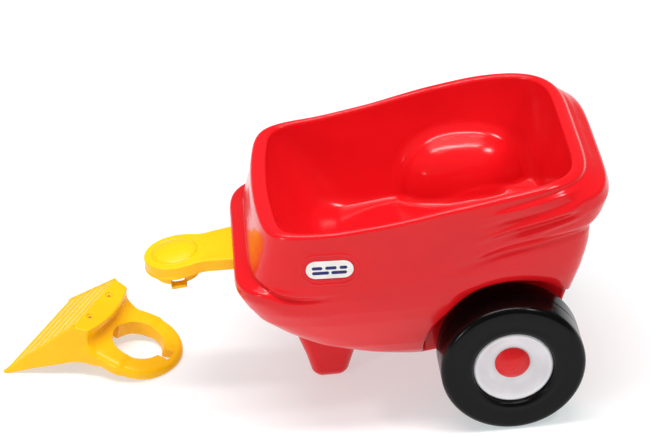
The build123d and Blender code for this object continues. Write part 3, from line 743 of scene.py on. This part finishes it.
def bracket(x, y, z):
    px, py, pz = x - BR_POS[0], y - BR_POS[1], z - BR_POS[2]
    u = px * BA[0] + py * BA[1] + pz * BA[2]
    s = px * BT[0] + py * BT[1] + pz * BT[2]
    n = px * BK[0] + py * BK[1] + pz * BK[2]
    a = np.sqrt(s * s + 0.25)
    r = np.hypot(u, s)
    # wedge that carries the screw tab and the ramp
    side = (u - SIDE_P[0]) * SIDE_N[0] + (a - SIDE_P[1]) * SIDE_N[1] + (n - SIDE_P[2]) * SIDE_N[2]
    dr = (u - RAMP_A[0]) * RAMP_N[0] + (n - RAMP_A[1]) * RAMP_N[1]
    along = (u - RAMP_A[0]) * RAMP_D[0] + (n - RAMP_A[1]) * RAMP_D[1]
    if RAMP_N[0] < 0:
        dr = -dr
    bow = 12.5 * (1 - (a / 69) ** 2)
    front = (throat(n) - np.maximum(bow, -6) * step((n - 8) / 20) + 0.0) - u
    w = smax(front * 0.85, dr, 2.0)
    w = smax(w, n - 34.0, 1.6)
    w = smax(w, belly(u) - n, 3.0)
    w = smax(w, side, 2.2)
    w = smax(w, along - 142.6, 1.2)
    # hollow underneath
    ih = smax(np.maximum(np.maximum(throat(n) - bow * step((n - 8) / 20) + 4.2 - u, dr + 4.2), n - 28.0), side + 4.2, 3.0)
    ih = smax(ih, along - 150, 1.0)
    hollow_low = -200 - n
    w = smax(w, -smax(ih, hollow_low, 1.0), 1.2)
    # grip ribs across the ramp
    for k in (0.10, 0.265, 0.43, 0.595, 0.76, 0.925):
        rib = smax(smax(np.abs(along - 142.6 * k) - 2.4, np.abs(dr + 0.6) - 2.4, 1.4), side + 1.5, 1.5)
        w = smin(w, rib, 1.4)
    # raised bead down each side of the ramp
    bead = smax(smax(np.abs(side + 2.6) - 2.0, np.abs(dr - 0.0) - 2.2, 1.4), np.maximum(along - 142.0, -along - 2), 1.0)
    w = smin(w, bead, 1.4)
    # ring with a full round outer edge, flared into the neck
    ringo = smax(r - 71.5, np.abs(n + 10) - 10, 8.5)
    neckw = level([(-40, 66), (0, 69), (30, 68.5), (60, 68), (90, 70)], 6)(u)
    neck = smax(smax(a - neckw, np.maximum(-u - 4, u - 56), 4.0), np.abs(n + 10) - 10, 8.0)
    ring = smin(ringo, neck, 10.0)
    tipn = (u + 71.5) * math.sin(BR_TILT) + (n + 11.5) * math.cos(BR_TILT)
    ring = smax(ring, -tipn, 2.0)
    dish = smax(smax(smax(r - 66.0, 45.0 - r, 1.5), np.maximum(n + 9.5, -60 - u), 2.0), 15 - np.abs(s), 2.0)
    ring = smax(ring, -dish, 1.0)
    d = smin(ring, w, 14.0)
    # ring bore and its two notches
    d = smax(d, RING_HOLE - r, 1.4)
    notch = np.maximum(np.abs(u) - (RING_HOLE + 17), np.abs(s) - 10)
    notch = np.maximum(notch, np.where(u > 0, n - 2.5, n - 30))
    d = smax(d, -notch, 0.8)
    # screw holes with shallow head recesses
    hole = np.hypot(u - 73, a - 31)
    d = smax(d, -np.maximum(hole - 2.2, np.abs(n - 30) - 30), 0.4)
    d = smax(d, -np.maximum(hole - 6.0, 32.2 - n), 0.5)
    d = smax(d, 0.05 - z, 0.3)
    return d


RING_HOLE = 40.2
bracket_ob = moulded("bracket_moulding", bracket, *cad_range("hitch_bracket"), 1.9 * FINE, None, 2)
dress(bracket_ob, MAT_YELLOW, "bracket", ["hitch_bracket"])


# ----------------------------------------------------------------- badges ---
def badge_piece(name, side, outline, lift, thick, edge):
    """A thin plate with a rounded edge that follows the badge plane. outline(u) is
    a list of closed loops of (a, b) points."""
    o, a, b, n = PLANES[side]
    verts, faces = [], []
    for loop in outline:
        loop = np.array(loop, float)
        c = loop.mean(0)
        m = len(loop)
        d = np.roll(loop, -1, 0) - np.roll(loop, 1, 0)
        nn = np.stack([d[:, 1], -d[:, 0]], 1)
        nn /= np.linalg.norm(nn, axis=1)[:, None]
        if ((loop - c) * nn).sum() < 0:
            nn = -nn
        base = len(verts)
        rings = [(0.0, 0.0)]
        for k in range(1, 6):
            t = math.pi / 2 * k / 5
            rings.append((edge * (1 - math.cos(t)), thick - edge + edge * math.sin(t)))
        rings += [(edge + 1.2, thick), (edge + 3.0, thick + 0.04)]
        for ins, hgt in rings:
            for q, w in zip(loop, nn):
                p = q - w * ins
                verts.append(o + a * p[0] + b * p[1] + n * (lift + hgt))
        k = len(rings)
        for r_ in range(k - 1):
            for i_ in range(m):
                j_ = (i_ + 1) % m
                faces.append((base + r_ * m + i_, base + r_ * m + j_, base + (r_ + 1) * m + j_, base + (r_ + 1) * m + i_))
        faces.append(tuple(base + (k - 1) * m + i_ for i_ in range(m)))
        faces.append(tuple(base + i_ for i_ in reversed(range(m))))
    me = bpy.data.meshes.new(name)
    me.from_pydata([tuple(v) for v in verts], [], faces)
    bm = bmesh.new()
    bm.from_mesh(me)
    bmesh.ops.recalc_face_normals(bm, faces=bm.faces)
    bm.to_mesh(me)
    bm.free()
    return place(me)


def pill_loop(cx, cy, w, h, n=20):
    out = []
    for sx, a0 in ((1, -90), (-1, 90)):
        for k in range(n + 1):
            t = math.radians(a0 + 180 * k / n)
            out.append((cx + sx * (w - h) / 2 + h / 2 * math.cos(t), cy + h / 2 * math.sin(t)))
    return out


for nm, s_ in (("left", 1), ("right", -1)):
    pl = badge_piece(nm + "_badge_plate", s_, [pill_loop(0, 0, 67, 28)], -0.9, 1.6, 0.55)
    dress(pl, MAT_BADGE, "trailer", [nm + "_badge"])
    bars = [pill_loop(-17.5, 3.2, 15, 5.2, 10), pill_loop(2.0, 3.2, 16, 5.2, 10), pill_loop(19.5, 3.2, 11, 5.2, 10),
            pill_loop(-13.0, -4.6, 24, 5.2, 10), pill_loop(13.0, -4.6, 22, 5.2, 10)]
    pr = badge_piece(nm + "_badge_bars", s_, bars, 0.66, 0.16, 0.05)
    dress(pr, MAT_PRINT, "trailer")

# ------------------------------------------------------------------ stage ---
def stage_scene():
    s = SHIFT / 1000
    me = bpy.data.meshes.new("floor")
    n = 24
    rr_ = [0.0, 0.7, 1.6, 3.5, 8.0]
    vs, fs = [(0, 0, 0)], []
    for r_ in rr_[1:]:
        for i in range(n * 2):
            a = math.pi * i / n
            vs.append((r_ * math.cos(a), r_ * math.sin(a), 0))
    m = n * 2
    for i in range(m):
        fs.append((0, 1 + i, 1 + (i + 1) % m))
    for k in range(len(rr_) - 2):
        for i in range(m):
            a, b = 1 + k * m + i, 1 + k * m + (i + 1) % m
            fs.append((a, a + m, b + m, b))
    me.from_pydata(vs, [], fs)
    fl = bpy.data.objects.new("floor", me)
    bpy.context.scene.collection.objects.link(fl)
    m_, nt, b = material("floor_white")
    n1 = noise(nt, 1.3, 2.0, 0.5)
    col = ramp(nt, n1.outputs["Fac"], [(0.3, (0.54, 0.51, 0.505)), (0.7, (0.56, 0.53, 0.525))])
    nt.links.new(col.outputs["Color"], b.inputs["Base Color"])
    b.inputs["Emission Color"].default_value = (0.9, 0.985, 1.0, 1)
    b.inputs["Emission Strength"].default_value = 0.5
    b.inputs["Roughness"].default_value = 0.8
    b.inputs["Specular IOR Level"].default_value = 0.15
    me.materials.append(m_)
    # camera
    a, e, r = math.radians(-2.1), math.radians(31.4), math.radians(-4.3)
    back = Vector((math.sin(a) * math.cos(e), -math.cos(a) * math.cos(e), math.sin(e)))
    right = Vector((math.cos(a), math.sin(a), 0))
    up = back.cross(right)
    rt = right * math.cos(r) + up * math.sin(r)
    ut = up * math.cos(r) - right * math.sin(r)
    loc = (Vector((-237.5, 1.1, 266.2)) + back * 3262.8 + Vector(SHIFT)) / 1000
    cam = bpy.data.cameras.new("camera")
    cam.sensor_width = 36.0
    cam.lens = 2221.0 / 664.0 * 36.0
    cam.clip_end = 50
    co = bpy.data.objects.new("camera", cam)
    mt = Matrix.Identity(4)
    for i, v in enumerate((rt, ut, back)):
        mt[0][i], mt[1][i], mt[2][i] = v
    mt.translation = loc
    co.matrix_world = mt
    bpy.context.scene.collection.objects.link(co)
    bpy.context.scene.camera = co

    def area(name, loc_, target, size, power, colour=(1, 1, 1), size_y=None):
        l = bpy.data.lights.new(name, "AREA")
        l.shape = "RECTANGLE"
        l.size, l.size_y = size, size_y or size
        l.energy = power
        l.color = colour
        o = bpy.data.objects.new(name, l)
        o.location = loc_
        d = Vector(target) - Vector(loc_)
        o.rotation_euler = d.to_track_quat("-Z", "Y").to_euler()
        bpy.context.scene.collection.objects.link(o)
        return o
    area("top_strip", (-0.05, -0.35, 2.5), (0.0, 0, 0.15), 2.2, 36.0, size_y=0.26)
    area("top_soft", (-0.1, 0.25, 2.9), (0.0, 0, 0.0), 2.6, 36.0, size_y=2.2)
    area("right_box", (1.5, -0.9, 2.2), (0.1, 0, 0.2), 0.32, 13.0, size_y=0.32)
    area("left_box", (-1.9, -1.7, 0.8), (0.0, 0, 0.2), 0.3, 12.0, size_y=0.5)
    w = bpy.data.worlds.new("studio")
    bpy.context.scene.world = w
    w.use_nodes = True
    wn = w.node_tree
    bg = wn.nodes["Background"]
    bg.inputs["Color"].default_value = (1, 1, 1, 1)
    lp = wn.nodes.new("ShaderNodeLightPath")
    mx = wn.nodes.new("ShaderNodeMapRange")
    mx.inputs["To Min"].default_value = 0.44
    mx.inputs["To Max"].default_value = 0.16
    wn.links.new(lp.outputs["Is Glossy Ray"], mx.inputs["Value"])
    wn.links.new(mx.outputs["Result"], bg.inputs["Strength"])
    bpy.context.scene.view_settings.view_transform = "Standard"
    bpy.context.scene.view_settings.look = "None"
    bpy.context.scene.view_settings.exposure = 0.0


stage_scene()

# the small parts keep their CAD meshes and get real finishes
for nm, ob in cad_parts.items():
    if ob.hide_render:
        continue
    if "tongue_screws" in nm or "axle_rod" in nm or "washer" in nm or "push_nut" in nm:
        mt_ = MAT_STEEL
    elif "bush" in nm:
        mt_ = MAT_NATURAL
    elif "badge" in nm:
        mt_ = MAT_BADGE
    elif nm in ("tow_tongue", "hitch_bracket"):
        mt_ = MAT_YELLOW
    else:
        mt_ = MAT_RED
    ob.data.materials.clear()
    ob.data.materials.append(mt_)

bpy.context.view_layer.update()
